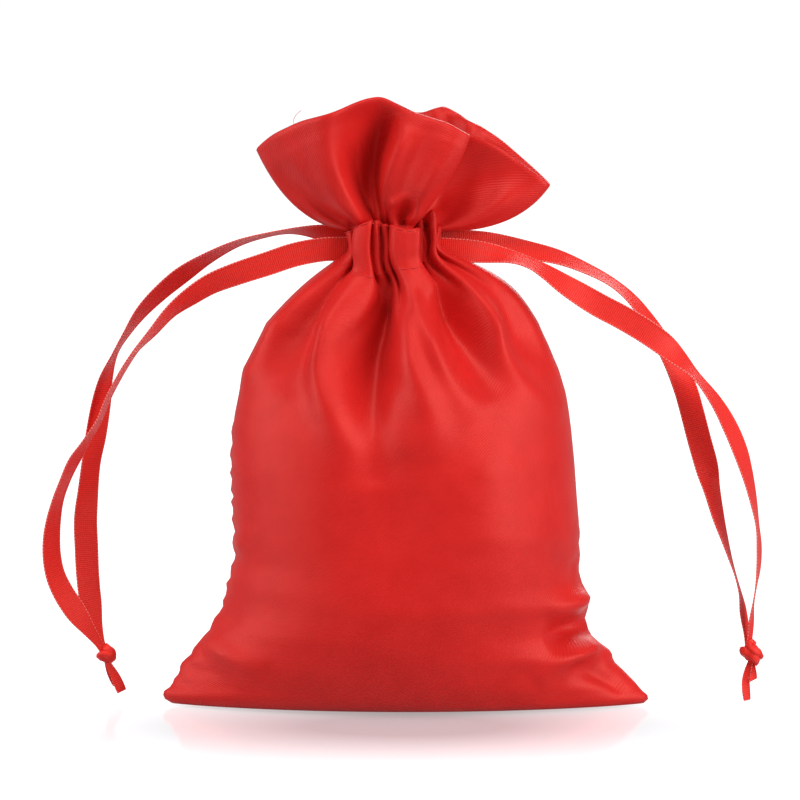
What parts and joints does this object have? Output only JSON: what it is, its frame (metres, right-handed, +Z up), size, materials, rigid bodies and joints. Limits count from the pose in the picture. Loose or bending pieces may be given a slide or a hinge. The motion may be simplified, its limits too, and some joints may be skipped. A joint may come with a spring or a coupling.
{
  "type": "kinchaku drawstring pouch",
  "caption": "Small standing satin drawstring pouch with a gathered neck, an open ruffled top and ribbon drawstrings hanging from both sides to knots.",
  "frame": {"origin": "on the floor, under the middle of the pouch's own box, without the free ribbons and their knots", "axes": "+Z up through the gathered neck, -Y towards the front, +X towards the right-hand ribbon; the side seams lie at -X and +X"},
  "size_m": [0.1496, 0.05, 0.1246],
  "materials": {
    "satin": "woven polyester satin, soft sheen",
    "ribbon": "ribbed single-face ribbon with woven edges"
  },
  "bodies": {
    "root": {"pouch_cloth": "satin", "left_ribbon_loop": "ribbon", "right_ribbon_loop": "ribbon", "left_ribbon_upper_tail": "ribbon", "left_ribbon_lower_tail": "ribbon", "right_ribbon_upper_tail": "ribbon", "right_ribbon_lower_tail": "ribbon", "left_ribbon_knot": "ribbon", "right_ribbon_knot": "ribbon"}
  },
  "joints": []
}
